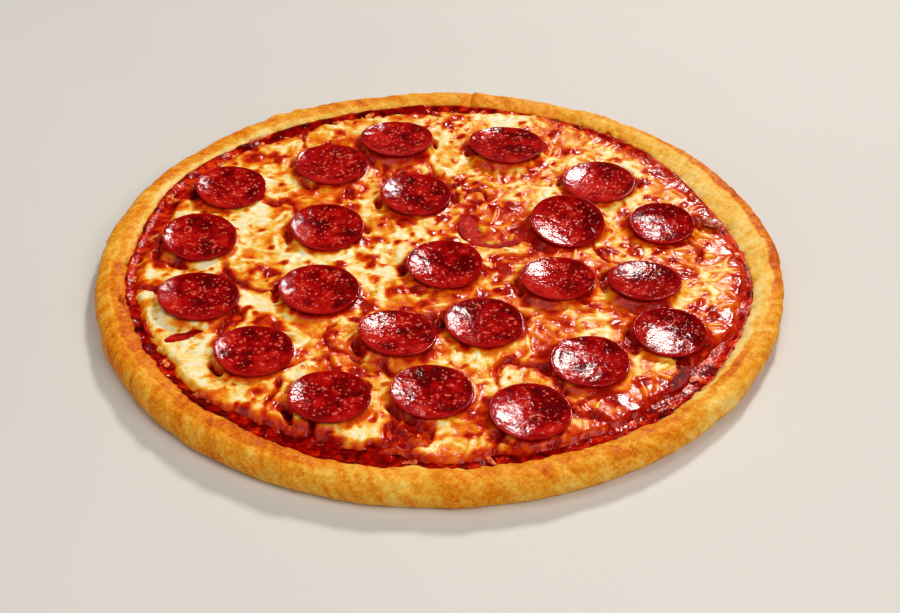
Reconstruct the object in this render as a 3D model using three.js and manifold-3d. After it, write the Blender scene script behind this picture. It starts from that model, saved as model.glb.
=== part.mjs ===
// A pepperoni pan pizza, whole and uncut: a thick round dough base with a rolled rim, a layer of tomato
// sauce in the rim's well, a layer of melted cheese on the sauce, and slices of pepperoni on the cheese.
// Millimetres, +Z up. The origin is the middle of the flat underside, and -Y is the front edge.
import * as THREE from 'three';
import { mergeVertices } from 'three/addons/utils/BufferGeometryUtils.js';
import Module from 'manifold-3d';

const wasm = await Module();
wasm.setup();

const pizzaRadius = 165;
const gap = 0.3; // left between pieces that touch

const crust = {
  floor: 6, // thickness of the dough under the sauce
  rimWidth: 17,
  rimHeight: 13.4, // at the front
  backDrop: 0.3, // how much less the rim rises above the floor at the back
  underside: 160.5, // radius of the flat underside, inside the round lower corner
  facets: 72,
};
const sauce = { thickness: 2, facets: 72 };
const cheese = { thickness: 2.2, reach: 139, swell: 0.45, facets: 64, rings: 9 };
const slice = { thickness: 1.9, cup: 1.3, bend: 0.62, facets: 18 }; // it curls up outside the bend
const sunkSlice = { thickness: 1.6, cup: 0, bend: 0.62, clearance: 0.9, facets: 24 };
const meatBit = { length: 12.5, width: 7.5, height: 3.6, turn: 12.5, away: 137.5, slant: -30, facets: 14 };

const wellRadius = pizzaRadius - crust.rimWidth;
const sauceTop = crust.floor + gap + sauce.thickness;
const cheeseBase = sauceTop + gap;

// Where the slices lie: [turn in degrees from +X, distance from the pizza's middle, width across, lean in
// degrees, and the turn that it leans down towards].
const outerRing = [
  [14, 113, 32, 4.4, 262], [39, 104.5, 37, 1.2, 200], [71, 107, 39, 4, 80], [102, 109, 38, 4, 100],
  [124, 100, 37.5, 1, 330], [150, 122, 35.5, 3.4, 275], [172.5, 117.5, 36, 4.2, 268],
  [196, 116.5, 38, 1.2, 60], [221.5, 110.5, 36, 1.4, 250], [246, 115.5, 36.5, 1.4, 110],
  [268.5, 101.5, 37, 1, 20], [289, 122.5, 36, 2, 280], [310, 105.5, 36, 0.9, 225], [330.5, 121, 34, 3.4, 272],
  [348, 99, 35, 4.2, 84],
];
const innerRing = [
  [24, 69, 36.5, 10, 272], [102.5, 55.5, 36, 1.3, 300], [155.5, 60.5, 36, 4.2, 278],
  [205.5, 62, 38, 1, 240], [253, 64.5, 36, 4.6, 35], [292, 56, 36.5, 1, 250], [342, 59, 36, 2.2, 95],
];
const middleSlice = [291, 8, 36.5, 3.4, 266];
const sunkSlices = [[48, 41, 36], [319, 125, 36], [201, 130, 30]];

const radians = THREE.MathUtils.degToRad;

// A smooth lump, 1 at the given turn and fading to 0 at `spread` degrees to each side.
function lumpAt(turn, middle, spread) {
  const off = Math.abs(((THREE.MathUtils.radToDeg(turn) - middle + 540) % 360) - 180);
  return off < spread ? 0.5 + 0.5 * Math.cos((Math.PI * off) / spread) : 0;
}

// How far the rim's inner edge stands out from its mean radius, at a turn in radians. The rim is widest
// near the meat bit and thinnest at the far left and the near right.
function innerEdge(turn) {
  const waves = 0.5 * Math.cos(7 * turn + 1) + 0.4 * Math.cos(11 * turn + 2);
  return waves - 5 * lumpAt(turn, 22, 28) + 2.6 * lumpAt(turn, 150, 35) + 2.4 * lumpAt(turn, 315, 32);
}

// The melted cheese's wavy outline.
function cheeseEdge(turn) {
  const waves = 1.6 * Math.cos(5 * turn + 0.5) + 1.3 * Math.cos(9 * turn + 2) + 0.9 * Math.cos(16 * turn);
  return waves + 1.5 * lumpAt(turn, 190, 30) - 2.2 * lumpAt(turn, 270, 60);
}

// The cheese's gentle swells and hollows.
function cheeseSwell(x, y) {
  return cheese.swell * (Math.sin(x / 17 + 1) * Math.cos(y / 21) + 0.6 * Math.sin((x - y) / 12));
}

// Stretches the well, inside the rim, to the wavy inner edge, and squeezes the rim to what is left.
function followInnerEdge(radius, turn) {
  const moved = wellRadius + innerEdge(turn);
  if (radius <= wellRadius) return (radius * moved) / wellRadius;
  const share = (radius - wellRadius) / (pizzaRadius - wellRadius);
  return moved + share * (pizzaRadius - moved);
}

// A solid of revolution standing on the XY plane, its points then moved by `move(radius, turn, z)`,
// which gives the new [radius, z].
function turned(profile, facets, move) {
  const geometry = new THREE.LatheGeometry(profile, facets);
  geometry.rotateX(Math.PI / 2);
  const points = geometry.getAttribute('position');
  for (let i = 0; i < points.count; i++) {
    const x = points.getX(i);
    const y = points.getY(i);
    const turn = Math.atan2(y, x);
    const [radius, z] = move(Math.hypot(x, y), turn, points.getZ(i));
    points.setXYZ(i, radius * Math.cos(turn), radius * Math.sin(turn), z);
  }
  geometry.computeVertexNormals();
  return geometry;
}

// The rim in section, from the underside round the outside and over the top to the well's floor: the
// lower corner is tight, as the pan made it, and the top is a half ellipse.
function rimSection() {
  const halfWidth = crust.rimWidth / 2;
  const middle = pizzaRadius - halfWidth;
  const corner = new THREE.EllipseCurve(
    crust.underside, crust.floor, pizzaRadius - crust.underside, crust.floor, -Math.PI / 2, 0,
  );
  const top = new THREE.EllipseCurve(
    middle, crust.floor, halfWidth, crust.rimHeight - crust.floor, 0, Math.PI,
  );
  return [...corner.getPoints(3), ...top.getPoints(9).slice(1)];
}

function makeCrust() {
  const profile = [new THREE.Vector2(0, 0), ...rimSection(), new THREE.Vector2(0, crust.floor)];
  return turned(profile, crust.facets, (radius, turn, z) => {
    const wavy = 0.02 * (1 + Math.cos(3 * turn + 0.6)) + 0.015 * (1 + Math.cos(8 * turn));
    const lowered = 1 - wavy - 0.5 * crust.backDrop * (1 + Math.sin(turn));
    const rise = Math.max(0, z - crust.floor) * lowered;
    return [followInnerEdge(radius, turn), Math.min(z, crust.floor) + rise];
  });
}

// A flat disc with a rounded upper edge, its top divided into rings so that it can swell.
function discProfile(radius, low, high, rings) {
  const profile = [[0, low], [radius, low], [radius, (low + high) / 2], [radius - 1, high]];
  for (let ring = rings - 1; ring >= 0; ring--) profile.push([((radius - 1) * ring) / rings, high]);
  return profile.map(([r, z]) => new THREE.Vector2(r, z));
}

function makeSauce() {
  const profile = discProfile(wellRadius - gap, crust.floor + gap, sauceTop, 2);
  return turned(profile, sauce.facets, (radius, turn, z) => [followInnerEdge(radius, turn), z]);
}

function makeCheese() {
  const top = cheeseBase + cheese.thickness;
  const profile = discProfile(cheese.reach, cheeseBase, top, cheese.rings);
  return turned(profile, cheese.facets, (radius, turn, z) => {
    const spread = (radius * (cheese.reach + cheeseEdge(turn))) / cheese.reach;
    const raised = z < top ? z : z + cheeseSwell(spread * Math.cos(turn), spread * Math.sin(turn));
    return [spread, raised];
  });
}

// A slice of pepperoni: a thin disc whose edge has curled up into a shallow cup as it cooked. `seed`
// makes each one a little out of round in its own way.
function makeSlice(width, seed, { thickness, cup, bend, facets }) {
  const radius = width / 2;
  const profile = [
    [0, 0], [bend * radius, 0.12 * cup], [0.97 * radius, cup], [radius, cup + 0.55 * thickness],
    [0.95 * radius, cup + thickness], [bend * radius, 0.12 * cup + thickness], [0, thickness],
  ].map(([r, z]) => new THREE.Vector2(r, z));
  return turned(profile, facets, (r, turn, z) => [
    r * (1 + 0.012 * Math.cos(2 * turn + seed) + 0.008 * Math.cos(3 * turn + 2 * seed)), z,
  ]);
}

// A scrap of meat lying flat: an ellipsoid, flattened underneath.
function makeMeatBit() {
  const geometry = new THREE.SphereGeometry(1, meatBit.facets, meatBit.facets / 2);
  geometry.rotateX(Math.PI / 2);
  geometry.scale(meatBit.length / 2, meatBit.width / 2, meatBit.height / 2);
  const points = geometry.getAttribute('position');
  const flat = -0.25 * meatBit.height;
  for (let i = 0; i < points.count; i++) points.setZ(i, Math.max(points.getZ(i), flat) - flat);
  geometry.computeVertexNormals();
  return geometry;
}

function material(color, roughness) {
  return new THREE.MeshStandardMaterial({ color, roughness, metalness: 0 });
}

const bakedDough = material(0xd9923a, 0.62);
const tomatoSauce = material(0x8e1410, 0.25);
const meltedCheese = material(0xf2c66b, 0.35);
const curedMeat = material(0x9c1a18, 0.3);

const pizza = new THREE.Group();

function addPiece(name, geometry, finish) {
  const mesh = new THREE.Mesh(geometry, finish);
  mesh.name = name;
  pizza.add(mesh);
  return mesh;
}

// The highest cheese within `reach` of (x, y).
function cheeseUnder(x, y, reach) {
  let highest = -Infinity;
  for (let step = 0; step < 12; step++) {
    const turn = (step * Math.PI) / 6;
    for (const out of [0, reach / 2, reach]) {
      highest = Math.max(highest, cheeseSwell(x + out * Math.cos(turn), y + out * Math.sin(turn)));
    }
  }
  return cheeseBase + cheese.thickness + highest;
}

// Lays a slice on the cheese, raised enough for its low edge to clear it.
function laySlice([turn, away, width, lean, towards], number) {
  const mesh = addPiece(`pepperoni_${number}`, makeSlice(width, number, slice), curedMeat);
  const x = away * Math.cos(radians(turn));
  const y = away * Math.sin(radians(turn));
  const fall = (width / 2) * Math.sin(radians(lean));
  const dip = Math.max(slice.bend * fall - 0.12 * slice.cup, fall - slice.cup, 0);
  mesh.position.set(x, y, cheeseUnder(x, y, width / 2) + gap + dip);
  const hinge = new THREE.Vector3(-Math.sin(radians(towards)), Math.cos(radians(towards)), 0);
  mesh.setRotationFromAxisAngle(hinge, radians(lean));
}

function toSolid(geometry) {
  const bare = geometry.clone();
  bare.deleteAttribute('normal');
  bare.deleteAttribute('uv');
  const merged = mergeVertices(bare, 1e-4);
  return new wasm.Manifold(new wasm.Mesh({
    numProp: 3,
    vertProperties: new Float32Array(merged.getAttribute('position').array),
    triVerts: new Uint32Array(merged.getIndex().array),
  }));
}

function fromSolid(solid) {
  const mesh = solid.getMesh();
  const geometry = new THREE.BufferGeometry();
  geometry.setAttribute('position', new THREE.BufferAttribute(mesh.vertProperties, 3));
  geometry.setIndex(new THREE.BufferAttribute(mesh.triVerts, 1));
  geometry.computeVertexNormals();
  return geometry;
}

// The hole that the cheese has melted round a sunk slice.
function holeFor([turn, away, width]) {
  const radius = width / 2 + sunkSlice.clearance;
  const depth = 4 * cheese.thickness;
  const hole = new THREE.CylinderGeometry(radius, radius, depth, sunkSlice.facets);
  hole.rotateX(Math.PI / 2);
  hole.translate(away * Math.cos(radians(turn)), away * Math.sin(radians(turn)), cheeseBase);
  return toSolid(hole);
}

addPiece('crust', makeCrust(), bakedDough);
addPiece('sauce', makeSauce(), tomatoSauce);

let cheeseSolid = toSolid(makeCheese());
for (const place of sunkSlices) cheeseSolid = cheeseSolid.subtract(holeFor(place));
addPiece('cheese', fromSolid(cheeseSolid), meltedCheese);

[...outerRing, ...innerRing, middleSlice].forEach((place, index) => laySlice(place, index + 1));

sunkSlices.forEach(([turn, away, width], index) => {
  const name = `sunk_pepperoni_${index + 1}`;
  const mesh = addPiece(name, makeSlice(width, index, sunkSlice), curedMeat);
  mesh.position.set(away * Math.cos(radians(turn)), away * Math.sin(radians(turn)), cheeseBase);
});

const scrap = addPiece('meat_bit', makeMeatBit(), curedMeat);
const scrapX = meatBit.away * Math.cos(radians(meatBit.turn));
const scrapY = meatBit.away * Math.sin(radians(meatBit.turn));
scrap.position.set(scrapX, scrapY, cheeseUnder(scrapX, scrapY, meatBit.length / 2) + gap);
scrap.rotation.z = radians(meatBit.turn + meatBit.slant);

export default pizza;
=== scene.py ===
import itertools
import math

import bpy
import numpy as np
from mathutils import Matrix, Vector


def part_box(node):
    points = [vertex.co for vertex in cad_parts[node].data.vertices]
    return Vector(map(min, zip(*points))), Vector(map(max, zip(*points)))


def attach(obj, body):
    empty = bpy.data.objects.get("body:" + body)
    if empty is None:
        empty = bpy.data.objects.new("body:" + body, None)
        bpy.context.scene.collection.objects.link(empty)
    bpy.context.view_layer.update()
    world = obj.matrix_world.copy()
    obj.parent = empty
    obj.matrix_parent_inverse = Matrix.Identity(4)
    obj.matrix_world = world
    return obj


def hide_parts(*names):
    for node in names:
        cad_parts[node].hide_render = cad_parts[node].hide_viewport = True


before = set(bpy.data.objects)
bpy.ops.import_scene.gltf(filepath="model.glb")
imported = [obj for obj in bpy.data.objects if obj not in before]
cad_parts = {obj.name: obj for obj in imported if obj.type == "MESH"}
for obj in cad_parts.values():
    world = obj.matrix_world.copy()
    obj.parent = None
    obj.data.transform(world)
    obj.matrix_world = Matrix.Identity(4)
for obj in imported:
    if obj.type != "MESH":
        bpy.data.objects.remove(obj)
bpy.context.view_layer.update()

# Shapes are worked out in millimetres and turned to metres when a mesh is made.
# A turn is an angle round the pizza, in degrees from +X towards +Y.

toMillimetres = 1000
dice = np.random.default_rng(41)  # every random draw comes from here, always in the same order


def between(low, high):
    return dice.uniform(low, high)


def scatter(reach):
    # a random place on a disc: its distance and direction from the middle, then its x and y
    away = reach * math.sqrt(between(0, 1))
    turn = between(0, 2 * math.pi)
    return away, turn, away * math.cos(turn), away * math.sin(turn)


def smoothStep(low, high, value):
    share = np.clip((value - low) / (high - low), 0, 1)
    return share * share * (3 - 2 * share)


def turnOf(x, y):
    return np.degrees(np.arctan2(y, x)) % 360


def turnApart(turn, middle):
    return np.abs((turn - middle + 180) % 360 - 180)


def swellAt(turn, middle, spread):
    # 1 at the middle turn, fading smoothly to 0 at spread degrees to each side
    return 0.5 + 0.5 * np.cos(np.pi * np.clip(turnApart(turn, middle) / spread, 0, 1))


def turned(x, y, lean):
    # x and y turned by lean, in radians
    return x * math.cos(lean) - y * math.sin(lean), x * math.sin(lean) + y * math.cos(lean)


def cornerValue(ix, iy, iz, seed):
    # a scrambled number between -1 and 1 for each corner of a grid
    mixed = (ix * 73856093) ^ (iy * 19349663) ^ (iz * 83492791) ^ (seed * 25214903917)
    mixed = (mixed ^ (mixed >> 13)) * 1274126177
    mixed = (mixed ^ (mixed >> 16)) & 0xFFFF
    return mixed / 32767.5 - 1


def softNoise(x, y, z, size, seed):
    # smooth noise between -1 and 1 with lumps about `size` across
    cells, parts = [], []
    for value in (x, y, z):
        scaled = np.asarray(value, float) / size + 1000.5
        low = np.floor(scaled).astype(np.int64)
        cells.append(low)
        share = scaled - low
        parts.append(share * share * share * (share * (share * 6 - 15) + 10))
    total = 0
    for dx, dy, dz in itertools.product((0, 1), repeat=3):
        weight = parts[0] if dx else 1 - parts[0]
        weight = weight * (parts[1] if dy else 1 - parts[1])
        weight = weight * (parts[2] if dz else 1 - parts[2])
        total = total + weight * cornerValue(cells[0] + dx, cells[1] + dy, cells[2] + dz, seed)
    return total


def roughNoise(x, y, z, size, seed, layers=3, fade=0.5):
    # layers of soft noise, each half the size of the one before
    total, strength, reach = 0, 1.0, 0.0
    for layer in range(layers):
        total = total + strength * softNoise(x, y, z, size / 2 ** layer, seed + 17 * layer)
        reach += strength
        strength *= fade
    return total / reach * 1.5


def makeMesh(name, points, faces, notes=None):
    mesh = bpy.data.meshes.new(name)
    mesh.from_pydata((np.asarray(points) * 0.001).tolist(), [], [list(map(int, face)) for face in faces])
    mesh.polygons.foreach_set("use_smooth", [True] * len(mesh.polygons))
    for key, values in (notes or {}).items():
        layer = mesh.attributes.new(key, "FLOAT", "POINT")
        layer.data.foreach_set("value", np.asarray(values, np.float32).ravel())
    mesh.validate()
    mesh.update()
    piece = bpy.data.objects.new(name, mesh)
    bpy.context.scene.collection.objects.link(piece)
    return piece


def finishPiece(piece, material, slotName, *nodes):
    piece.data.materials.append(material)
    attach(piece, "root")
    if nodes:
        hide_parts(*nodes)


def circleAngles(sectors):
    return np.linspace(0, 2 * np.pi, sectors, endpoint=False)


def ballRing(slope, angle):
    # one ring of a ball of radius 1: slope runs from 0 at its foot to pi at its crown
    return np.sin(slope) * np.cos(angle), np.sin(slope) * np.sin(angle), np.full(len(angle), -np.cos(slope))


def ringedSkin(rings, sectors, start=0):
    # a closed skin over rings of points: quads from ring to ring, and a flat cap at each end
    ring, sector = np.meshgrid(np.arange(rings - 1), np.arange(sectors), indexing="ij")
    after = (sector + 1) % sectors
    quads = np.stack([ring * sectors + sector, ring * sectors + after,
                      (ring + 1) * sectors + after, (ring + 1) * sectors + sector], -1)
    faces = (quads.reshape(-1, 4) + start).tolist()
    faces.append([start + k for k in range(sectors)][::-1])
    faces.append([start + (rings - 1) * sectors + k for k in range(sectors)])
    return faces


def discGrid(count):
    # an even grid of points on a disc of radius 1, made from a square one
    side = np.linspace(-1, 1, count + 1)
    across, along = np.meshgrid(side, side)
    wide = np.abs(across) > np.abs(along)
    big = np.where(wide, across, along)
    small = np.where(wide, along, across)
    lean = np.pi / 4 * np.divide(small, big, out=np.zeros_like(big), where=big != 0)
    angle = np.where(wide, lean, np.pi / 2 - lean)
    return big * np.cos(angle), big * np.sin(angle)


def gridFaces(count):
    row, column = np.meshgrid(np.arange(count), np.arange(count), indexing="ij")
    first = row * (count + 1) + column
    return np.stack([first, first + 1, first + count + 2, first + count + 1], -1).reshape(-1, 4).tolist()


def closedLayer(name, count, reachAt, heightAt, underside, notesAt):
    # a layer with a detailed top, an outline that varies with the turn, and a plain flat underside
    unitX, unitY = discGrid(count)
    reach = reachAt(turnOf(unitX, unitY))
    x = unitX * reach
    y = unitY * reach
    top = np.stack([x, y, heightAt(x, y)], -1).reshape(-1, 3)
    index = np.arange((count + 1) ** 2).reshape(count + 1, count + 1)
    edge = np.concatenate([index[0, :-1], index[:-1, -1], index[-1, :0:-1], index[:0:-1, 0]])
    below = top[edge].copy()
    below[:, 2] = underside
    points = np.vstack([top, below, [[0, 0, underside]]])
    faces = gridFaces(count)
    lower = len(top) + np.arange(len(edge))
    middle = len(points) - 1
    for here in range(len(edge)):
        after = (here + 1) % len(edge)
        faces.append([edge[here], lower[here], lower[after], edge[after]])
        faces.append([lower[here], middle, lower[after]])
    notes = {}
    for key, values in notesAt(x, y).items():
        values = np.asarray(values).ravel()
        notes[key] = np.concatenate([values, values[edge], [0]])
    return makeMesh(name, points, faces, notes)


def paint(red, green, blue):
    # a colour mixed from 0 to 255, as Blender's linear light
    return tuple((c / 255 / 12.92) if c <= 10.3 else ((c / 255 + 0.055) / 1.055) ** 2.4
                 for c in (red, green, blue)) + (1.0,)


class Finish:
    # one material and the nodes that feed its shader; sizes are in millimetres

    def __init__(self, name):
        self.material = bpy.data.materials.new(name)
        self.material.use_nodes = True
        self.tree = self.material.node_tree
        self.tree.nodes.clear()
        self.shader = self.tree.nodes.new("ShaderNodeBsdfPrincipled")
        output = self.tree.nodes.new("ShaderNodeOutputMaterial")
        self.tree.links.new(self.shader.outputs["BSDF"], output.inputs["Surface"])
        self.place = self.tree.nodes.new("ShaderNodeTexCoord").outputs["Object"]

    def join(self, source, target):
        if isinstance(source, (int, float, tuple)):
            target.default_value = source
        else:
            self.tree.links.new(source, target)

    def note(self, name):
        # a value that the mesh carries at each of its points
        node = self.tree.nodes.new("ShaderNodeAttribute")
        node.attribute_name = name
        return node.outputs["Fac"]

    def noise(self, size, detail=3.0, roughness=0.55, twist=0.0, place=None):
        node = self.tree.nodes.new("ShaderNodeTexNoise")
        node.inputs["Scale"].default_value = toMillimetres / size
        node.inputs["Detail"].default_value = detail
        node.inputs["Roughness"].default_value = roughness
        node.inputs["Distortion"].default_value = twist
        self.tree.links.new(place or self.place, node.inputs["Vector"])
        return node.outputs["Fac"]

    def streaks(self, size, stretch, turn):
        # noise drawn out along a direction
        lay = self.tree.nodes.new("ShaderNodeMapping")
        lay.vector_type = "TEXTURE"
        lay.inputs["Rotation"].default_value = (0, 0, math.radians(turn))
        lay.inputs["Scale"].default_value = (stretch, 1, 1)
        self.tree.links.new(self.place, lay.inputs["Vector"])
        return self.noise(size, 3.0, 0.5, 0.0, lay.outputs["Vector"])

    def cells(self, size, feature="F1"):
        node = self.tree.nodes.new("ShaderNodeTexVoronoi")
        node.feature = feature
        node.inputs["Scale"].default_value = toMillimetres / size
        self.tree.links.new(self.place, node.inputs["Vector"])
        return node.outputs["Distance"]

    def sum(self, kind, first, second, third=0.0):
        node = self.tree.nodes.new("ShaderNodeMath")
        node.operation = kind
        for value, socket in zip((first, second, third), node.inputs):
            self.join(value, socket)
        return node.outputs[0]

    def centred(self, value):
        # noise lies about 0.5: this brings it about 0
        return self.sum("SUBTRACT", value, 0.5)

    def more(self, base, extra, weight):
        return self.sum("MULTIPLY_ADD", extra, weight, base)

    def between(self, value, low, high, toLow=0.0, toHigh=1.0):
        node = self.tree.nodes.new("ShaderNodeMapRange")
        node.interpolation_type = "SMOOTHSTEP"
        for source, name in ((value, "Value"), (low, "From Min"), (high, "From Max"),
                             (toLow, "To Min"), (toHigh, "To Max")):
            self.join(source, node.inputs[name])
        return node.outputs[0]

    def ramp(self, value, stops):
        node = self.tree.nodes.new("ShaderNodeValToRGB")
        points = node.color_ramp.elements
        while len(points) < len(stops):
            points.new(0.5)
        for point, (where, colour) in zip(points, stops):
            point.position = where
            point.color = paint(*colour)
        self.join(value, node.inputs["Fac"])
        return node.outputs["Color"]

    def tint(self, base, share, colour, most=None):
        # lays a colour over the base by share, up to most
        if most is not None:
            share = self.sum("MULTIPLY", share, most)
        node = self.tree.nodes.new("ShaderNodeMix")
        node.data_type = "RGBA"
        self.join(share, node.inputs[0])
        self.join(base, node.inputs[6])
        self.join(paint(*colour), node.inputs[7])
        return node.outputs[2]

    def relief(self, height, depth, under=None):
        node = self.tree.nodes.new("ShaderNodeBump")
        node.inputs["Strength"].default_value = 1.0
        node.inputs["Distance"].default_value = depth * 0.001
        self.join(height, node.inputs["Height"])
        if under is not None:
            self.join(under, node.inputs["Normal"])
        return node.outputs["Normal"]

    def use(self, colour, roughness, normal=None, gloss=None):
        for source, name in ((colour, "Base Color"), (roughness, "Roughness"), (normal, "Normal"),
                             (gloss, "Specular IOR Level")):
            if source is not None:
                self.join(source, self.shader.inputs[name])
        return self.material


def nodePoints(name):
    return np.array([vertex.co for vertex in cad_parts[name].data.vertices]) * toMillimetres


def nodeBox(name):
    return [np.array(corner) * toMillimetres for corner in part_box(name)]


outerRadius = nodeBox("crust")[1][0]
sauceBottom, sauceTop = (corner[2] for corner in nodeBox("sauce"))


def outlineOf(name):
    # the outline of a node seen from above, as the distance from the middle at each turn
    points = nodePoints(name)
    turn = turnOf(points[:, 0], points[:, 1])
    away = np.hypot(points[:, 0], points[:, 1])
    rim = away > 0.9 * away.max()
    steps = np.unique(np.round(turn[rim], 1))
    reach = [away[rim][turnApart(turn[rim], step) < 2.6].max() for step in steps]
    return lambda at: np.interp(at, steps, reach, period=360)


sauceEdge = outlineOf("sauce")
cheeseEdge = outlineOf("cheese")


def sliceFrom(name):
    # the middle of a slice's underside, its upward direction and its radius, read off its solid
    points = nodePoints(name)
    middle = points.mean(0)
    up = np.linalg.svd(points - middle)[2][2]
    up = up * np.sign(up[2])
    heights = (points - middle) @ up
    flat = (points - middle) - heights[:, None] * up
    return {"name": name, "base": middle + up * heights.min(), "up": up,
            "radius": np.linalg.norm(flat, axis=1).max()}


sliceNames = sorted((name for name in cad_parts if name.startswith("pepperoni_")),
                    key=lambda name: int(name.split("_")[1]))
sunkNames = sorted(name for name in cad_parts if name.startswith("sunk_"))
slices = [sliceFrom(name) for name in sliceNames]
sunkSlices = [sliceFrom(name) for name in sunkNames]
print("frame read:", len(slices), "slices,", len(sunkSlices), "sunk")

# The bed of toppings is worked out on a fine square map of the pizza seen from above.
bed = {"reach": 154.0, "step": 0.5}
bedSide = np.arange(-bed["reach"], bed["reach"] + 0.1, bed["step"])
bedX, bedY = np.meshgrid(bedSide, bedSide)
bedAway = np.hypot(bedX, bedY)
bedTurn = turnOf(bedX, bedY)


def readMap(values, x, y):
    column = np.clip((x + bed["reach"]) / bed["step"], 0, len(bedSide) - 1.001)
    row = np.clip((y + bed["reach"]) / bed["step"], 0, len(bedSide) - 1.001)
    left = column.astype(int)
    front = row.astype(int)
    acrossShare = column - left
    alongShare = row - front
    near = values[front, left] * (1 - acrossShare) + values[front, left + 1] * acrossShare
    far = values[front + 1, left] * (1 - acrossShare) + values[front + 1, left + 1] * acrossShare
    return near * (1 - alongShare) + far * alongShare


def around(x, y, reach):
    # the part of the map within reach of a point, and how far its spots lie from that point
    low = [max(0, int((value - reach + bed["reach"]) / bed["step"])) for value in (x, y)]
    high = [min(len(bedSide), int((value + reach + bed["reach"]) / bed["step"]) + 2) for value in (x, y)]
    part = slice(low[1], high[1]), slice(low[0], high[0])
    return part, bedX[part] - x, bedY[part] - y


def edgeDistances():
    # how far each spot lies outside the nearest slice's edge, below 0 under the slice
    nearest = np.full_like(bedX, 99.0)
    for item in slices:
        part, dx, dy = around(item["base"][0], item["base"][1], item["radius"] + 12)
        nearest[part] = np.minimum(nearest[part], np.hypot(dx, dy) - item["radius"])
    return nearest


sliceGap = edgeDistances()

shredLook = {
    "count": 1300,
    "reach": 146.0,  # they lie up to this far from the middle
    "halfLength": (3.5, 9.0),
    "halfWidth": (1.0, 2.2),
    "height": (0.6, 1.4),
    "bend": 2.4,
    "looseShare": 0.5,  # past the cheese's edge fewer stay, and those are shorter and lower
    "looseLength": 0.5,
    "looseHeight": 0.8,
}


def layShreds():
    # melted shreds of cheese, as a map of low ridges
    ridges = np.zeros_like(bedX)
    for _ in range(shredLook["count"]):
        away, turn, x, y = scatter(shredLook["reach"])
        lean = between(0, math.pi)
        length = between(*shredLook["halfLength"])
        width = between(*shredLook["halfWidth"])
        height = between(*shredLook["height"])
        bend = between(-1, 1) * shredLook["bend"]
        keep = between(0, 1)
        if away > cheeseEdge(math.degrees(turn)) + 1:
            length *= shredLook["looseLength"]
            height *= shredLook["looseHeight"]
            if keep < shredLook["looseShare"]:
                continue
        part, dx, dy = around(x, y, length + 2)
        along, across = turned(dx, dy, -lean)
        along = along / length
        across = (across - bend * (along ** 2 - 0.3)) / width
        form = np.clip(1 - across ** 2, 0, 1) ** 0.7 * np.clip(1 - along ** 4, 0, 1) ** 0.5
        ridges[part] = np.maximum(ridges[part], height * form)
    return ridges


bubbleReach = 139.0  # browned bubbles form up to this far from the middle
blotchLook = {"count": 420, "radius": (2.2, 4.8), "rise": 0.35, "clump": 38, "seed": 301}
blisterLook = {"count": 900, "radius": (0.9, 2.2), "rise": 0.45, "clump": 26, "seed": 331}


def raiseBubbles(look):
    # browned bubbles in the cheese: a map of how brown they are, and one of how high they stand
    brown = np.zeros_like(bedX)
    rise = np.zeros_like(bedX)
    clump = roughNoise(bedX, bedY, 0, look["clump"], look["seed"], 2)
    for _ in range(look["count"]):
        x, y = scatter(bubbleReach)[2:]
        radius = between(*look["radius"])
        strength = between(0.6, 1.1)
        squash = between(0.55, 0.95)
        lean = between(0, math.pi)
        if between(-1.0, 0.75) > readMap(clump, np.array([x]), np.array([y]))[0]:
            continue
        part, dx, dy = around(x, y, radius * 2.2)
        along, across = turned(dx, dy, -lean)
        along = along / radius
        across = across / (radius * squash)
        wobble = 0.4 * softNoise(bedX[part], bedY[part], 0, radius * 0.9, look["seed"] + 7)
        out = np.sqrt(along ** 2 + across ** 2) * (1 + wobble)
        brown[part] = np.maximum(brown[part], strength * np.clip(1.4 - out, 0, 1) ** 0.9)
        dome = np.exp(-((out - 0.5) / 0.42) ** 2)
        rise[part] = np.maximum(rise[part], look["rise"] * dome)
    return brown, rise


cheeseLook = {
    "level": sauceTop - 0.1,  # height of the sauce where the cheese starts
    "thickness": 2.35,
    "unevenness": 0.6,
    "grain": 0.16,
    "bare": -0.6,  # thickness below 0 leaves the sauce bare
    "seamWidth": 0.1,
    "seamWander": 4.5,
    "raggedEdge": 2.6,
    "rightSpread": 2.6,  # how much further it has run at the right
    "shredRise": 0.6,
    "underOverSauce": 0.4,  # its underside stands this far above the sauce's underside
}


def openSeams():
    # wandering gaps between the lumps of cheese, where the sauce shows
    wander = cheeseLook["seamWander"]
    x = bedX + wander * softNoise(bedX, bedY, 0, 13, 31)
    y = bedY + wander * softNoise(bedX, bedY, 9, 13, 33)
    line = np.abs(roughNoise(x, y, 0, 25, 35, 2, 0.45)) + 0.1 * softNoise(bedX, bedY, 0, 5, 37)
    seam = np.exp(-(np.clip(line, 0, 9) / cheeseLook["seamWidth"]) ** 2)
    return seam * smoothStep(-0.35, 0.3, softNoise(bedX, bedY, 0, 24, 39))


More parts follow.
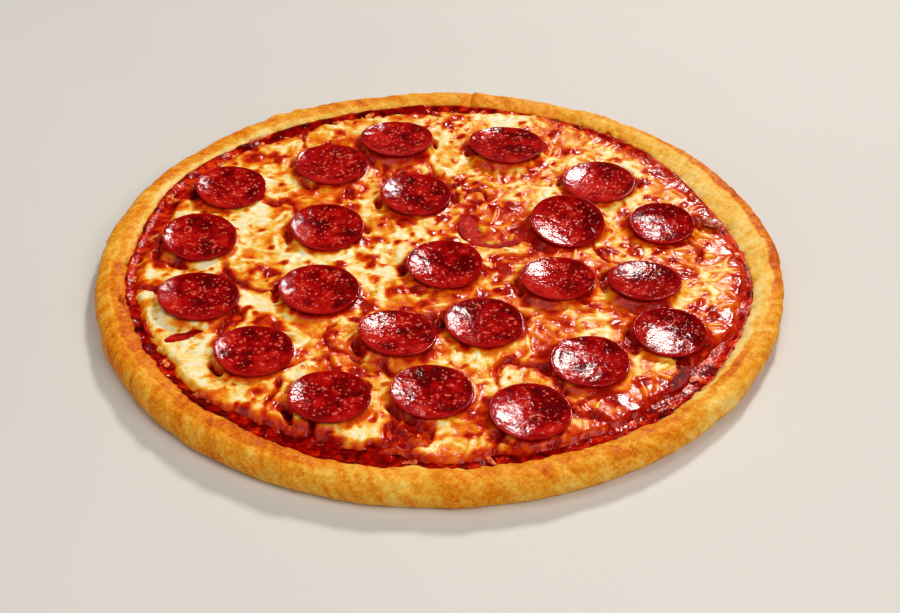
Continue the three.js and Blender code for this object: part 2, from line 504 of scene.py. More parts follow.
def meltCheese(ridges, rise, seams):
    # the cheese's thickness above the sauce: below 0 the sauce is bare
    bare = cheeseLook["bare"]
    lumps = roughNoise(bedX, bedY, 0, 14, 21, 3)
    body = cheeseLook["thickness"] + cheeseLook["unevenness"] * lumps
    border = bedAway - cheeseEdge(bedTurn) + cheeseLook["raggedEdge"] * roughNoise(bedX, bedY, 0, 10, 55, 3)
    border = border - cheeseLook["rightSpread"] * swellAt(bedTurn, 30, 90)
    inside = 1 - smoothStep(1.0, 4.4, border)
    cover = inside * (1 - 0.85 * smoothStep(0.6, 1.0, seams))
    thickness = body * cover + bare * (1 - cover)
    thickness = thickness + cheeseLook["shredRise"] * ridges * (0.3 + 0.7 * cover) * (inside > 0.02)
    outer = smoothStep(0, 1.5, border) * smoothStep(-0.1, 0.25, softNoise(bedX, bedY, 0, 9, 91))
    thickness = np.maximum(thickness, bare + 1.3 * ridges * outer)
    thickness = thickness + rise * cover
    return thickness + cheeseLook["grain"] * roughNoise(bedX, bedY, 0, 2.6, 93, 2) * (thickness > 0)


pocketLook = {
    "mostPerSlice": 3,
    "sides": [215, 190, 165, 20],  # turns from a slice's middle, drawn more often at its left
    "sideSpread": 25,
    "halfWidth": (3.5, 8.0),
    "halfDepth": (1.7, 3.4),
    "drop": 3.0,
    "lowest": -0.7,
}


def sinkPockets(thickness):
    # bare hollows that open beside the slices, where their fat has run; also where those are, for the painted
    # shade in the sauce
    hollows = np.zeros_like(bedX)
    spread = pocketLook["sideSpread"]
    for item in slices:
        x, y = item["base"][:2]
        for _ in range(dice.integers(1, pocketLook["mostPerSlice"] + 1)):
            side = math.radians(dice.choice(pocketLook["sides"]) + between(-spread, spread))
            wide = between(*pocketLook["halfWidth"])
            deep = between(*pocketLook["halfDepth"])
            away = item["radius"] + 0.3 * deep
            part, dx, dy = around(x + away * math.cos(side), y + away * math.sin(side), 12)
            outward, sideways = turned(dx, dy, -side)
            ragged = 1 + 0.6 * softNoise(bedX[part], bedY[part], 0, 3.1, 131)
            hollow = np.exp(-((outward / deep) ** 2 + (sideways / wide) ** 2) * ragged)
            thickness[part] -= pocketLook["drop"] * smoothStep(0.2, 0.75, hollow)
            hollows[part] = np.maximum(hollows[part], smoothStep(0.15, 0.6, hollow))
    return np.maximum(thickness, pocketLook["lowest"]), hollows


# where the sunk slices show: turn from the slice's middle, spread, how far in from its edge
sunkViews = {
    "sunk_pepperoni_1": [(185, 45, 9), (270, 60, 3.0)],
    "sunk_pepperoni_2": [(0, 70, 5), (60, 40, 4)],
    "sunk_pepperoni_3": [(300, 45, 4)],
}


def bareSunkSlices(thickness):
    for item in sunkSlices:
        part, dx, dy = around(item["base"][0], item["base"][1], item["radius"] + 4)
        away = np.hypot(dx, dy)
        turn = turnOf(dx, dy)
        ragged = 1.8 * softNoise(bedX[part], bedY[part], 0, 4.5, 141)
        for middle, spread, deep in sunkViews[item["name"]]:
            shown = smoothStep(spread, spread * 0.6, turnApart(turn, middle) + 6 * ragged)
            shown = shown * smoothStep(deep + 1.5, deep - 0.5, item["radius"] - away + ragged)
            shown = shown * (away < item["radius"] + 0.8)
            thickness[part] = thickness[part] * (1 - shown) + cheeseLook["bare"] * shown
    return thickness


hugLook = {
    "cup": 1.15,  # how far a slice's underside rises from its middle to its edge
    "gap": 0.35,
    "grip": (4.0, -1.5),  # none this far outside a slice's edge, full this far outside it
    "bareMargin": 3.0,
}


def hugSlices(height):
    # the cheese is drawn up to the underside of each slice, and a little up its edge
    for item in slices:
        x, y, z = item["base"]
        up = item["up"]
        part, dx, dy = around(x, y, item["radius"] + 6)
        away = np.hypot(dx, dy)
        plane = z - (up[0] * dx + up[1] * dy) / up[2]
        under = plane + hugLook["cup"] * np.clip(away / item["radius"], 0, 1) ** 2 - hugLook["gap"]
        grip = smoothStep(*hugLook["grip"], away - item["radius"] + 1.2 * softNoise(dx, dy, z, 6, 151))
        bare = height[part] < cheeseLook["level"] + 0.05
        grip = np.where(bare & (away > item["radius"] - hugLook["bareMargin"]), 0, grip)
        height[part] = height[part] * (1 - grip) + np.maximum(height[part], under) * grip
    return height


def ranked(values, where):
    # spreads a map evenly over 0 to 1, so that each colour keeps its share of the cheese
    order = np.sort(values[where])[::40]
    return np.interp(values, order, np.linspace(0, 1, len(order)))


toneLook = {
    "broad": 0.55,
    "fine": 0.24,
    "blotches": 1.0,
    "blisters": 0.8,
    "seams": 0.9,
    "ridges": -0.3,
    # the fat stain also carries painted shade on each slice's left
    "fat": 0.8,
    "edge": 0.35,
    "thin": 0.9,
    "frontRight": 0.26,  # redder there, and paler by the next at the left
    "left": 0.26,
}


def fatStainAndShade(x, y):
    # the fat that has run from each slice; its wider reach on each slice's left is painted shade, where the
    # slice's shadow falls
    stain = np.zeros_like(bedX)
    for item in slices:
        part = around(item["base"][0], item["base"][1], item["radius"] + 8)[0]
        dx, dy = x[part] - item["base"][0], y[part] - item["base"][1]
        gap = np.clip(np.hypot(dx, dy) - item["radius"], 0, 30)
        wide = 0.9 + 2.6 * swellAt(turnOf(dx, dy), 190, 95)
        stain[part] = np.maximum(stain[part], np.exp(-(gap / wide) ** 2))
    return stain * (0.6 + 0.7 * softNoise(bedX, bedY, 0, 7, 501))


def toneCheese(ridges, blotches, blisters, seams, thickness):
    # the cheese's colour: 0 cream, through yellow and orange, to 1 deep red
    look = toneLook
    x = bedX + 3 * softNoise(bedX, bedY, 0, 9, 41)
    y = bedY + 3 * softNoise(bedX, bedY, 9, 9, 43)
    tone = look["broad"] * roughNoise(x, y, 0, 21, 45, 3, 0.6)
    tone = tone + look["fine"] * roughNoise(bedX, bedY, 0, 5, 47, 3)
    tone = tone + look["blotches"] * blotches + look["blisters"] * blisters
    tone = tone + look["seams"] * seams + look["ridges"] * ridges
    tone = tone + look["fat"] * fatStainAndShade(x, y)
    tone = tone + look["edge"] * smoothStep(-4, 3, bedAway - cheeseEdge(bedTurn))
    tone = tone + look["thin"] * smoothStep(0.7, -0.2, thickness)
    sides = look["frontRight"] * swellAt(bedTurn, 325, 80) - look["left"] * swellAt(bedTurn, 200, 70)
    tone = tone + sides * bedAway / 130
    return ranked(tone, (bedAway < bubbleReach) & (sliceGap > 0) & (thickness > 0))


ridgeMap = layShreds()
blotchMap, blotchRise = raiseBubbles(blotchLook)
blisterMap, blisterRise = raiseBubbles(blisterLook)
seamMap = openSeams()
thickMap = meltCheese(ridgeMap, np.maximum(blotchRise, blisterRise), seamMap)
thickMap, hollowShadeMap = sinkPockets(thickMap)
thickMap = bareSunkSlices(thickMap)
toneMap = toneCheese(ridgeMap, blotchMap, blisterMap, seamMap, thickMap)
cheeseMap = hugSlices(cheeseLook["level"] + thickMap)
print("bed of cheese worked out")

sauceLook = {
    "grid": 240,
    "lumps": 0.3,
    "grain": 0.13,
    "creep": 1.7,  # how far the sauce climbs the rim
    "underRim": 1.6,  # how far it runs in under the rim
    "colours": [(0.28, (56, 0, 0)), (0.46, (110, 0, 0)), (0.62, (172, 8, 0)), (0.8, (226, 60, 10))],
    "seedColour": (222, 100, 40),
    "roughness": (0.05, 0.14),
    "middleRoughness": 0.16,  # added away from the dark ring
    "gloss": 0.055,
}


def sauceHeight(x, y):
    away = np.hypot(x, y)
    turn = turnOf(x, y)
    height = cheeseLook["level"] + 0.02
    height = height + sauceLook["lumps"] * roughNoise(x, y, 0, 6.5, 401, 2)
    height = height + sauceLook["grain"] * softNoise(x, y, 0, 2.1, 411)
    creep = sauceLook["creep"] * (0.8 + 0.5 * softNoise(x, y, 0, 7, 421)) * (1 - 0.6 * swellAt(turn, 30, 110))
    return height + creep * np.exp(-np.clip(sauceEdge(turn) - away, 0, 30) / 1.6)


def sauceNotes(x, y):
    # the sauce is dark in the bare ring, is painted darker in the hollows as shade, and is redder at the
    # right and the left
    turn = turnOf(x, y)
    middle = smoothStep(137, 127, np.hypot(x, y)) - 1.1 * readMap(hollowShadeMap, x, y)
    middle = middle + 0.7 * swellAt(turn, 8, 122) + 0.6 * swellAt(turn, 165, 65)
    return {"lump": roughNoise(x, y, 0, 5, 431, 3), "middle": middle}


def makeSauce():
    reach = lambda turn: sauceEdge(turn) + sauceLook["underRim"]
    return closedLayer("sauce_layer", sauceLook["grid"], reach, sauceHeight, sauceBottom, sauceNotes)


def sauceFinish():
    look = Finish("tomato sauce")
    tone = look.more(look.noise(4.5, 4, 0.6, 0.6), look.note("lump"), 0.2)
    # the middle note brings the painted shade of the hollows into the colour
    tone = look.more(tone, look.note("middle"), 0.22)
    seeds = look.between(look.cells(2.6), 0.0, 0.22, 1.0, 0.0)
    colour = look.tint(look.ramp(tone, sauceLook["colours"]), seeds, sauceLook["seedColour"], 0.25)
    fine = look.relief(look.cells(1.5, "SMOOTH_F1"), 0.08)
    normal = look.relief(look.noise(2.6, 1, 0.5, 1.2), 0.22, fine)
    rough = look.between(look.noise(3.3, 3), 0.3, 0.75, *sauceLook["roughness"])
    rough = look.more(rough, look.between(look.note("middle"), 0.0, 1.0), sauceLook["middleRoughness"])
    return look.use(colour, rough, normal, sauceLook["gloss"])


finishPiece(makeSauce(), sauceFinish(), "tomato_sauce", "sauce")
print("sauce made")

meltLook = {
    "grid": 300,
    "pastOutline": 6,  # the mesh runs on this far, below the sauce
    "insideSauce": 0.8,
    "colours": [(0.0, (255, 240, 196)), (0.12, (254, 222, 136)), (0.24, (250, 184, 52)),
                (0.41, (240, 130, 10)), (0.63, (226, 82, 2)), (0.83, (194, 30, 0)), (1.0, (146, 6, 0))],
    "scorchColour": (152, 32, 2),
    "roughness": (0.42, 0.18),
    "gloss": 0.16,
}


def cheeseNotes(x, y):
    brown = np.maximum(readMap(blotchMap, x, y), readMap(blisterMap, x, y))
    return {"tone": readMap(toneMap, x, y), "brown": brown}


def makeCheese():
    reach = lambda turn: np.minimum(cheeseEdge(turn) + meltLook["pastOutline"],
                                    sauceEdge(turn) - meltLook["insideSauce"])
    height = lambda x, y: readMap(cheeseMap, x, y)
    underside = sauceBottom + cheeseLook["underOverSauce"]
    return closedLayer("cheese_layer", meltLook["grid"], reach, height, underside, cheeseNotes)


def cheeseFinish():
    look = Finish("melted cheese")
    fine = look.centred(look.noise(1.5, 4, 0.62))
    broad = look.centred(look.noise(4.2, 4, 0.62, 0.6))
    rich = look.more(look.more(look.note("tone"), broad, 0.8), fine, 0.26)
    scorch = look.between(look.more(look.note("brown"), fine, 0.8), 0.82, 1.15)
    colour = look.tint(look.ramp(rich, meltLook["colours"]), scorch, meltLook["scorchColour"], 0.7)
    small = look.relief(look.noise(1.4, 1, 0.5), 0.09)
    normal = look.relief(look.noise(4.2, 2, 0.5, 0.4), 0.34, small)
    rough = look.between(look.sum("ADD", rich, look.noise(2.2, 3)), 0.5, 1.4, *meltLook["roughness"])
    return look.use(colour, rough, normal, meltLook["gloss"])


finishPiece(makeCheese(), cheeseFinish(), "melted_cheese", "cheese")
print("cheese made")

sliceLook = {
    "sectors": 84,
    "rings": 20,
    "thickness": 1.4,
    "sunkThickness": 0.8,  # a sunk slice's share of that
    "curl": 1.1,
    "sunkCurl": 0.1,
    "leftCurl": 1.4,  # how much more the left edge curls than the right one
    "leftCurlFade": 0.0036,  # how much less of that for each millimetre to the right
    "wave": 0.22,
    "lumps": 0.1,
    # the rolled edge from below to above: height as a share of the thickness, and how far in
    "edge": [(0.0, 0.55), (0.22, 0.1), (0.55, 0.0), (0.84, 0.12), (1.0, 0.5)],
    "colours": [(0.28, (92, 0, 1)), (0.44, (140, 1, 3)), (0.58, (170, 7, 5)), (0.76, (196, 30, 18))],
    "fatColour": (226, 104, 84),
    "rimColour": (166, 8, 6),
    "cooked": (0.11, 0.05, 0.12),  # gloss, then the least and most roughness
    "soaked": (0.04, 0.42, 0.58),
}


def localFrame(up):
    side = np.cross([0, 1, 0], up)
    side /= np.linalg.norm(side)
    return side, np.cross(up, side)


def makeSlice(item, number, sunk=False):
    # a thin disc, curled up at its edge, with a lumpy face and a soft rolled edge
    look = sliceLook
    sectors = look["sectors"]
    thick = look["thickness"] * (look["sunkThickness"] if sunk else 1)
    curl = look["sunkCurl"] if sunk else look["curl"] * between(0.75, 1.15)
    wave = 0.0 if sunk else look["wave"]
    angle = circleAngles(sectors)
    ringX, ringY = np.cos(angle), np.sin(angle)
    outline = item["radius"] * (0.985 + 0.012 * softNoise(ringX, ringY, number, 0.9, 601)
                                + 0.006 * softNoise(ringX, ringY, number, 0.35, 607))
    leftCurl = look["leftCurl"] - look["leftCurlFade"] * item["base"][0]
    lift = curl * (1 + 0.3 * softNoise(ringX, ringY, number, 0.8, 611)
                   + leftCurl * swellAt(np.degrees(angle), 185, 110))
    rings = [(share, 0.0, 0.0) for share in (0.02, 0.5, 0.85)]
    rings += [(1.0, height * thick, inward) for height, inward in look["edge"]]
    rings += [(share, thick, 0.0) for share in np.linspace(0.955, 0.02, look["rings"])]
    points, tone, level = [], [], []
    for share, height, inward in rings:
        radius = outline * share - inward
        x, y = radius * ringX, radius * ringY
        face = look["lumps"] * roughNoise(x, y, 9 * number, 4.2, 621, 2)
        face = face + wave * softNoise(x, y, 9 * number, 13, 631)
        cup = lift * np.clip(share, 0, 1) ** 2.2
        points.append(np.stack([x, y, height + cup + face * min(1.0, 4 * (height / thick))], -1))
        # the tone note also carries painted shade: each slice is painted darker towards its right and back
        tone.append(roughNoise(x, y, 9 * number, 7, 641, 3) - 0.55 * (0.8 * x + 0.6 * y) / item["radius"])
        level.append(np.full(sectors, share))
    points = np.vstack(points)
    side, ahead = localFrame(item["up"])
    placed = item["base"] + points[:, :1] * side + points[:, 1:2] * ahead + points[:, 2:] * item["up"]
    notes = {"tone": np.concatenate(tone), "share": np.concatenate(level),
             "dark": np.full(len(placed), between(-1, 1))}
    return makeMesh(item["name"] + "_slice", placed, ringedSkin(len(rings), sectors), notes)


def pepperoniFinish(name, gloss, smoothest, roughest):
    look = Finish(name)
    # marbling, plus the painted shade from the tone note, darker towards each slice's right and back
    marblingAndShade = look.more(look.noise(3.0, 5, 0.65, 0.8), look.note("tone"), 0.27)
    marblingAndShade = look.more(marblingAndShade, look.note("dark"), 0.06)
    fat = look.more(look.cells(2.1), look.noise(0.9, 2), 0.4)
    fat = look.more(fat, look.noise(3.0, 1), -0.9)
    fat = look.between(fat, -0.08, 0.06, 1.0, 0.0)
    fat = look.sum("MULTIPLY", fat, look.between(look.note("share"), 0.9, 0.8))
    colour = look.tint(look.ramp(marblingAndShade, sliceLook["colours"]), fat, sliceLook["fatColour"], 0.75)
    rim = look.between(look.note("share"), 0.86, 0.97)
    colour = look.tint(colour, rim, sliceLook["rimColour"], 0.6)
    worms = look.relief(look.noise(1.7, 1, 0.5, 1.6), 0.09)
    normal = look.relief(look.noise(4.6, 2, 0.5, 0.6), 0.2, worms)
    rough = look.between(look.noise(1.7, 4, 0.6), 0.35, 0.7, smoothest, roughest)
    return look.use(colour, rough, normal, gloss)


pepperoni = pepperoniFinish("cooked pepperoni", *sliceLook["cooked"])
soaked = pepperoniFinish("soaked pepperoni", *sliceLook["soaked"])
for number, item in enumerate(slices):
    finishPiece(makeSlice(item, number), pepperoni, "cured_meat", item["name"])
for number, item in enumerate(sunkSlices):
    finishPiece(makeSlice(item, 40 + number, sunk=True), soaked, "cured_meat", item["name"])
print("pepperoni made")

scrapLook = {
    "sectors": 40,
    "rings": 20,
    "half": (6.1, 3.7, 1.7),  # half its length, width and height
    "flatUnder": -1.0,
    "lift": 1.2,
    "lean": -18,
    "swell": 0.3,
    "colours": [(0.34, (112, 14, 8)), (0.48, (172, 60, 40)), (0.62, (214, 128, 96))],
    "roughness": (0.14, 0.3),
    "gloss": 0.25,
}


def makeMeatScrap():
    # a small lumpy scrap of meat that touches the rim
    low, high = nodeBox("meat_bit")
    middle = (low + high) / 2
    long, wide, tall = scrapLook["half"]
    angle = circleAngles(scrapLook["sectors"])
    points = []
    for slope in np.linspace(0.04, np.pi - 0.04, scrapLook["rings"]):
        x, y, z = ballRing(slope, angle)
        swell = 1 + scrapLook["swell"] * roughNoise(x, y, z, 1.0, 703, 2)
        x, y = turned(long * x * swell, wide * y * swell, math.radians(scrapLook["lean"]))
        points.append(np.stack([x, y, np.maximum(tall * z * swell, scrapLook["flatUnder"])], -1))
    points = np.vstack(points) + [middle[0], middle[1], low[2] + scrapLook["lift"]]
    return makeMesh("meat_scrap", points, ringedSkin(scrapLook["rings"], scrapLook["sectors"]))


def meatScrapFinish():
    look = Finish("glossy meat scrap")
    colour = look.ramp(look.noise(2.6, 4, 0.6, 0.5), scrapLook["colours"])
    normal = look.relief(look.noise(1.3, 3), 0.08)
    rough = look.between(look.noise(2.0, 3), 0.3, 0.7, *scrapLook["roughness"])
    return look.use(colour, rough, normal, scrapLook["gloss"])


finishPiece(makeMeatScrap(), meatScrapFinish(), "cured_meat", "meat_bit")
print("meat scrap made")

crustLook = {
    "sectors": 900,
    "floor": sauceBottom - 0.3,
    "frontRise": 7.0,
    "backRise": 4.6,
    "underside": 160.5,  # radius at which the rounding under the rim starts
    "lumps": 0.75,
    "grain": 0.32,
    "creaseTurn": 84.0,
    "notchTurn": 180.0,
    "dropTurn": 192.0,  # a drop of dough on the rim's inner slope
    "speckTurn": 53.0,  # a dark speck at the rim's inner edge
    "crestRadius": 158,
    "girth": 46,  # length of the rim's section from the underside to the sauce
    "bubbles": 95,
    "pits": 420,
    "mostRelief": 1.6,
    "colours": [(0.0, (252, 218, 134)), (0.25, (248, 190, 72)), (0.48, (238, 146, 22)),
                (0.7, (214, 98, 6)), (0.92, (164, 56, 2))],
    "poreColour": (160, 68, 8),
    "stainColour": (196, 62, 14),
    "roughness": (0.4, 0.62),
    "gloss": 0.06,
}
# paler or browner zones of the rim, some of them painted light and shade: turn, spread, from and to over its
# section, change;
# the section runs from 0 at the underside to 1 at the sauce
bakeAndLightZones = [
    (14, 62, 0.67, 1.02, -0.28),
    (14, 62, -0.02, 0.61, 0.26),
    # a painted highlight: a narrow pale band along the crest at the right
    (14, 58, 0.62, 0.66, -0.3),
    (60, 30, 0.6, 0.9, 0.04),
    (100, 48, 0.5, 1.02, 0.06),
    (142, 62, 0.74, 1.02, -0.34),
    # painted shade: the outer face at the left, darker
    (142, 62, 0.2, 0.68, 0.12),
    (200, 52, 0.62, 1.02, 0.24),
    (200, 60, 0.15, 0.58, 0.1),
    (318, 40, 0.15, 0.6, -0.14),
    (240, 40, 0.55, 1.02, 0.16),
    (275, 45, 0.25, 0.8, 0.08),
    (303, 22, 0.35, 0.8, 0.14),
    (332, 36, 0.72, 1.02, -0.34),
    (329, 16, 0.6, 0.74, 0.22),
]


def crustSection(turn):
    # the rim in section at each turn: from the underside, round the outside and over the crest, to the sauce
    cosine, sine = np.cos(np.radians(turn)), np.sin(np.radians(turn))
    wellX, wellY = 148 * cosine, 148 * sine
    inner = sauceEdge(turn) + 0.3 + 0.8 * roughNoise(wellX, wellY, 0, 6.5, 807, 3)
    inner = inner + 0.55 * roughNoise(wellX, wellY, 0, 2.6, 809, 2)
    outer = outerRadius - 0.45 - 0.45 * softNoise(cosine, sine, 0, 0.3, 801)
    rise = crustLook["frontRise"] + (crustLook["backRise"] - crustLook["frontRise"]) * (0.5 + 0.5 * sine)
    rise = rise + 0.35 * softNoise(cosine, sine, 0, 0.4, 811)
    shift = 4.2 * swellAt(turn, 18, 60) + 1.0 * swellAt(turn, 110, 70)
    floor, under = crustLook["floor"], crustLook["underside"]
    rings = []
    for bend in np.linspace(0, 1, 12) * np.pi / 2:
        rings.append((under + (outer - under) * np.sin(bend), np.full(len(turn), floor * (1 - np.cos(bend)))))
    middle, half = (inner + outer) / 2, (outer - inner) / 2
    for bend in np.linspace(0, 1, 40)[1:] * np.pi:
        rings.append((middle + half * np.cos(bend) + shift * np.sin(bend) ** 2,
                      floor + rise * np.sin(bend) ** 0.82))
    return np.array([radius for radius, height in rings]), np.array([height for radius, height in rings])


def arcFrom(turn, middle, radius):
    # how far along the rim a turn lies from another, in millimetres
    return turnApart(turn, middle) * math.radians(1) * radius


def fromDrop(turn, share):
    # distance from the drop of dough, as a share of its size
    sideways = (turn - crustLook["dropTurn"]) * math.radians(1) * 155 / 3.4
    return np.hypot(sideways, (share - 0.78) * crustLook["girth"] / 2.0)


def crustRelief(x, y, z, turn, share):
    relief = crustLook["lumps"] * roughNoise(x, y, z, 19, 821, 3)
    relief = relief + crustLook["grain"] * roughNoise(x, y, z, 4.5, 831, 3)
    relief = relief + 0.14 * softNoise(x, y, z, 1.7, 841)
    relief = relief + 0.5 * roughNoise(x, y, z, 2.8, 845, 2) * smoothStep(0.8, 0.92, share)
    crease = (turn - crustLook["creaseTurn"] + 180) % 360 - 180
    crease = crease * math.radians(1) * 157
    top = smoothStep(0.3, 0.5, share)
    relief = relief - 2.1 * top * np.exp(-(crease / 1.1) ** 2)
    relief = relief + 0.7 * top * np.exp(-((crease + 3.4) / 2.4) ** 2)
    notch = arcFrom(turn, crustLook["notchTurn"], 150) / 2.0
    relief = relief - 2.6 * np.exp(-notch ** 2) * smoothStep(0.72, 0.9, share)
    return relief + 0.9 * np.exp(-fromDrop(turn, share) ** 4)


def doughBubbles(turn, share):
    # low bubbles and small pits in the rim's skin
    relief = np.zeros_like(turn)
    for _ in range(crustLook["bubbles"]):
        where, level, size = between(0, 360), between(0.25, 0.95), between(1.8, 5.5)
        across = arcFrom(turn, where, crustLook["crestRadius"]) / size
        along = (share - level) * crustLook["girth"] / size
        relief += between(0.25, 0.8) * np.exp(-(across ** 2 + along ** 2) ** 1.4)
    for _ in range(crustLook["pits"]):
        where, level, size = between(0, 360), between(0.2, 0.98), between(0.55, 1.1)
        near = turnApart(turn[0], where) < 1.2
        across = arcFrom(turn[:, near], where, crustLook["crestRadius"]) / size
        along = (share[:, near] - level) * crustLook["girth"] / size
        relief[:, near] -= between(0.2, 0.55) * np.exp(-(across ** 2 + along ** 2))
    return relief


def crustBakeAndLight(points, turn, level):
    # how brown the dough is, with painted highlight and shade from some zones: 0 pale, 1 dark
    x, y, z = points.T
    bakeAndLight = 0.4 + 0.1 * roughNoise(x, y, z, 24, 851, 2) + 0.09 * roughNoise(x, y, z, 6, 861, 3)
    slanted = np.radians(turn + 7 * level)
    strokes = roughNoise(157 * np.cos(slanted), 157 * np.sin(slanted), 8 * level, 2.7, 881, 2)
    bakeAndLight = bakeAndLight + 0.13 * strokes
    where = level + 0.03 * roughNoise(x, y, z, 9, 885, 2)
    for middle, spread, low, high, change in bakeAndLightZones:
        band = smoothStep(low - 0.025, low + 0.025, where) * smoothStep(high + 0.025, high - 0.025, where)
        bakeAndLight = bakeAndLight + change * swellAt(turn, middle, spread) * band
    bakeAndLight = bakeAndLight - 0.2 * smoothStep(0.14, 0.05, level)
    speck = arcFrom(turn, crustLook["speckTurn"], 148)
    bakeAndLight = bakeAndLight + 0.9 * np.exp(-(speck / 2.0) ** 2) * smoothStep(0.75, 0.9, level)
    drop = fromDrop(turn, level)
    return bakeAndLight + 0.5 * np.exp(-((drop - 0.9) / 0.35) ** 2) + 0.2 * np.exp(-drop ** 2)


def crustStain(points, turn):
    # the red of the sauce and its oil, just above the sauce
    x, y, z = points.T
    edge = np.hypot(x, y) - sauceEdge(turn)
    ragged = 1.5 * roughNoise(x, y, z, 5, 871, 3)
    return smoothStep(2.6, 0.4, edge + ragged) * smoothStep(12.0, 9.5, z)


def makeCrust():
    sectors = crustLook["sectors"]
    angle = np.linspace(0, 360, sectors, endpoint=False)
    radius, z = crustSection(angle)
    turn = np.broadcast_to(angle, radius.shape)
    share = np.broadcast_to(np.linspace(0, 1, len(radius))[:, None], radius.shape)
    cosine, sine = np.cos(np.radians(turn)), np.sin(np.radians(turn))
    alongR, alongZ = np.gradient(radius, axis=0), np.gradient(z, axis=0)
    size = np.hypot(alongR, alongZ) + 1e-9
    outR, outZ = alongZ / size, -alongR / size
    relief = crustRelief(radius * cosine, radius * sine, z, turn, share) + doughBubbles(turn, share)
    relief = relief * smoothStep(0.02, 0.16, share) * smoothStep(1.0, 0.965, share)
    relief = np.minimum(relief, crustLook["mostRelief"])
    radius = np.minimum(radius + outR * relief, outerRadius)
    z = np.maximum(z + outZ * relief, 0.0)
    rings = [(radius[0] * scale, np.zeros(sectors), 0.0) for scale in (0.02, 0.3, 0.6, 0.85, 0.97)]
    rings += [(radius[k], z[k], share[k, 0]) for k in range(len(radius))]
    rings += [(radius[-1] * scale, np.full(sectors, crustLook["floor"]), 1.0) for scale in (0.9, 0.5, 0.02)]
    points = np.vstack([np.stack([ringRadius * cosine[0], ringRadius * sine[0], ringZ], -1)
                        for ringRadius, ringZ, ringShare in rings])
    level = np.repeat([ringShare for ringRadius, ringZ, ringShare in rings], sectors)
    turns = np.tile(angle, len(rings))
    notes = {"bakeAndLight": crustBakeAndLight(points, turns, level), "level": level, "stain": crustStain(points, turns)}
    return makeMesh("baked_crust", points, ringedSkin(len(rings), sectors), notes)


def crustFinish():
    look = Finish("baked dough")
    spots = look.centred(look.noise(1.5, 5, 0.66))
    broad = look.centred(look.noise(9, 4, 0.62, 0.4))
    strokes = look.centred(look.streaks(2.6, 3.2, 50))
    bakeAndLight = look.more(look.note("bakeAndLight"), spots, 0.85)
    bakeAndLight = look.more(look.more(bakeAndLight, strokes, 0.3), broad, 0.3)
    pores = look.between(look.cells(2.2), 0.06, 0.2, 1.0, 0.0)
    pores = look.sum("MULTIPLY", pores, look.between(look.noise(6, 2), 0.44, 0.56))
    colour = look.tint(look.ramp(bakeAndLight, crustLook["colours"]), pores, crustLook["poreColour"], 0.7)
    red = look.sum("MULTIPLY", look.note("stain"), look.between(look.noise(1.8, 3), 0.3, 0.6, 0.35, 0.9))
    colour = look.tint(colour, red, crustLook["stainColour"])
    fine = look.relief(look.noise(0.8, 4, 0.6), 0.1)
    middle = look.relief(look.noise(2.2, 4, 0.6, 0.3), 0.26, fine)
    normal = look.relief(look.noise(7, 3, 0.5), 0.6, middle)
    rough = look.between(look.noise(5, 3), 0.3, 0.7, *crustLook["roughness"])
    return look.use(colour, rough, normal, crustLook["gloss"])


finishPiece(makeCrust(), crustFinish(), "baked_dough", "crust")
print("crust made")

bitLook = {
    "count": 46,  # those that would touch a slice are left out
    "length": (3.5, 9.0),
    "width": (2.4, 4.6),
    "thickness": (0.6, 1.0),
    "tip": 0.2,
    "fromSlices": 2.5,
    "sectors": 14,
    "rings": 8,
    "colours": [(0.3, (250, 196, 120)), (0.42, (236, 128, 48)), (0.54, (210, 60, 14)), (0.66, (160, 14, 2))],
    "roughness": (0.22, 0.42),
    "gloss": 0.2,
}


def makeCheeseBits():
    # loose bits of browned cheese that lie in the ring of sauce
    sectors, rings = bitLook["sectors"], bitLook["rings"]
    angle = circleAngles(sectors)
    points, faces = [], []
    for number in range(bitLook["count"]):
        turn = between(0, 360)
        away = between(cheeseEdge(turn) - 1.5, sauceEdge(turn) - 2.0)
        x, y = away * math.cos(math.radians(turn)), away * math.sin(math.radians(turn))
        spot = np.array([x]), np.array([y])
        if readMap(sliceGap, *spot)[0] < bitLook["fromSlices"]:
            continue
        long, wide, deep = (between(*bitLook[key]) / 2 for key in ("length", "width", "thickness"))
        lean, tip = between(0, np.pi), between(-bitLook["tip"], bitLook["tip"])
        bit = []
        for slope in np.linspace(0.12, np.pi - 0.12, rings):
            # a rounded bar: the corners are pushed out from an oval
            oval = np.stack(ballRing(slope, angle), -1)
            bar = np.sign(oval) * np.abs(oval) ** 0.5 * [long, wide, deep]
            bar += 0.55 * roughNoise(bar[:, 0], bar[:, 1], bar[:, 2] + 20 * number, 2.8, 901, 2)[:, None]
            bit.append(bar)
        bit = np.vstack(bit)
        bit[:, 2] += bit[:, 0] * math.tan(tip)
        turnedX, turnedY = turned(bit[:, 0], bit[:, 1], lean)
        ground = sauceHeight(*spot)[0] - 0.15 * deep
        faces += ringedSkin(rings, sectors, len(points) * sectors * rings)
        points.append(np.stack([x + turnedX, y + turnedY, ground + bit[:, 2]], -1))
    return makeMesh("cheese_bits", np.vstack(points), faces)


def bitFinish():
    look = Finish("pale cheese bit")
    colour = look.ramp(look.noise(2.4, 4, 0.6), bitLook["colours"])
    normal = look.relief(look.noise(1.2, 3), 0.12)
    rough = look.between(look.noise(2, 3), 0.3, 0.7, *bitLook["roughness"])
    return look.use(colour, rough, normal, bitLook["gloss"])


finishPiece(makeCheeseBits(), bitFinish(), "melted_cheese")
print("loose cheese made")

oilLook = {
    "count": 260,  # only those that land on blisters clear of the slices are kept
    "reach": 142,
    "radius": (0.35, 0.95),
    "flatness": 0.5,
    "fromSlices": 0.8,
    "leastBlister": 0.25,
    "sectors": 12,
    "rings": 5,
    "colours": [(0.35, (206, 70, 20)), (0.65, (170, 26, 10))],
    "roughness": 0.1,
    "gloss": 0.5,
}


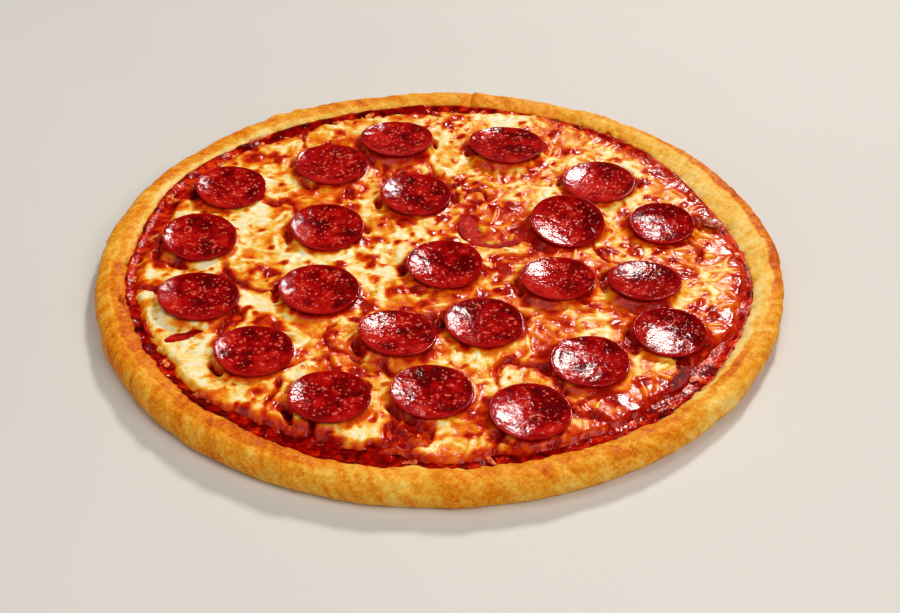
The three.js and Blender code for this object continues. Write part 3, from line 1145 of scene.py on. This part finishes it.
def makeOilDrops():
    # small drops of oil on the browned cheese
    sectors, rings = oilLook["sectors"], oilLook["rings"]
    angle = circleAngles(sectors)
    points, faces = [], []
    for _ in range(oilLook["count"]):
        x, y = scatter(oilLook["reach"])[2:]
        spot = np.array([x]), np.array([y])
        if readMap(sliceGap, *spot)[0] < oilLook["fromSlices"]:
            continue
        if readMap(blisterMap, *spot)[0] < oilLook["leastBlister"]:
            continue
        radius = between(*oilLook["radius"])
        drop = [np.stack([radius * np.sin(slope) * np.cos(angle), radius * np.sin(slope) * np.sin(angle),
                          np.full(sectors, -oilLook["flatness"] * radius * np.cos(slope))], -1)
                for slope in np.linspace(np.pi * 0.5, np.pi - 0.1, rings)]
        ground = max(readMap(cheeseMap, *spot)[0], sauceHeight(*spot)[0])
        faces += ringedSkin(rings, sectors, len(points) * sectors * rings)
        points.append(np.vstack(drop) + [x, y, ground - 0.1])
    return makeMesh("oil_drops", np.vstack(points), faces)


def oilFinish():
    look = Finish("orange oil")
    colour = look.ramp(look.noise(6, 2), oilLook["colours"])
    normal = look.relief(look.noise(1.5, 2), 0.05)
    return look.use(colour, oilLook["roughness"], normal, oilLook["gloss"])


finishPiece(makeOilDrops(), oilFinish(), "melted_cheese")
print("oil drops made")

stageLook = {
    "floorColours": [(0.3, (216, 212, 206)), (0.7, (222, 218, 212))],
    "floorRoughness": 0.7,
    "worldColour": (1.0, 0.98, 0.95, 1.0),
    "worldStrength": 0.07,
    # name, place in metres, size, watts, colour
    "lights": [("window", (0.62, 1.86, 1.5), 0.38, 40.0, (1.0, 0.96, 0.9)),
               ("fill", (0.75, -0.75, 0.95), 0.9, 9.0, (1.0, 0.97, 0.93)),
               ("left", (-0.95, -0.55, 0.6), 0.9, 2.5, (1.0, 0.97, 0.93)),
               ("top", (-0.3, -0.1, 1.3), 0.8, 4.0, (1.0, 0.98, 0.95))],
}
cameraLook = {"place": (0.0053, -0.7142, 0.5163), "downTilt": 36.72, "lens": 72.7, "sensor": 36}


def addToScene(name, data, place):
    holder = bpy.data.objects.new(name, data)
    holder.location = place
    bpy.context.scene.collection.objects.link(holder)
    return holder


def setFloor():
    bpy.ops.mesh.primitive_plane_add(size=8, location=(0, 0, 0))
    floor = bpy.context.object
    floor.name = "pale_floor"
    look = Finish("pale floor")
    tone = look.ramp(look.noise(420, 3), stageLook["floorColours"])
    floor.data.materials.append(look.use(tone, stageLook["floorRoughness"]))


def setLights():
    world = bpy.data.worlds.new("soft daylight")
    world.use_nodes = True
    sky = world.node_tree.nodes["Background"]
    sky.inputs["Color"].default_value = stageLook["worldColour"]
    sky.inputs["Strength"].default_value = stageLook["worldStrength"]
    bpy.context.scene.world = world
    for name, place, size, watts, colour in stageLook["lights"]:
        lamp = bpy.data.lights.new(name, "AREA")
        lamp.shape = "DISK"
        lamp.size = size
        lamp.energy = watts
        lamp.color = colour
        holder = addToScene(name, lamp, place)
        holder.rotation_euler = (-holder.location).to_track_quat("-Z", "Y").to_euler()


def setCamera():
    view = bpy.data.cameras.new("view")
    view.lens = cameraLook["lens"]
    view.sensor_width = cameraLook["sensor"]
    holder = addToScene("view", view, cameraLook["place"])
    holder.rotation_euler = (math.radians(90 - cameraLook["downTilt"]), 0, 0)
    bpy.context.scene.camera = holder


setFloor()
setLights()
setCamera()
bpy.context.scene.view_settings.view_transform = "Standard"
print("stage set")
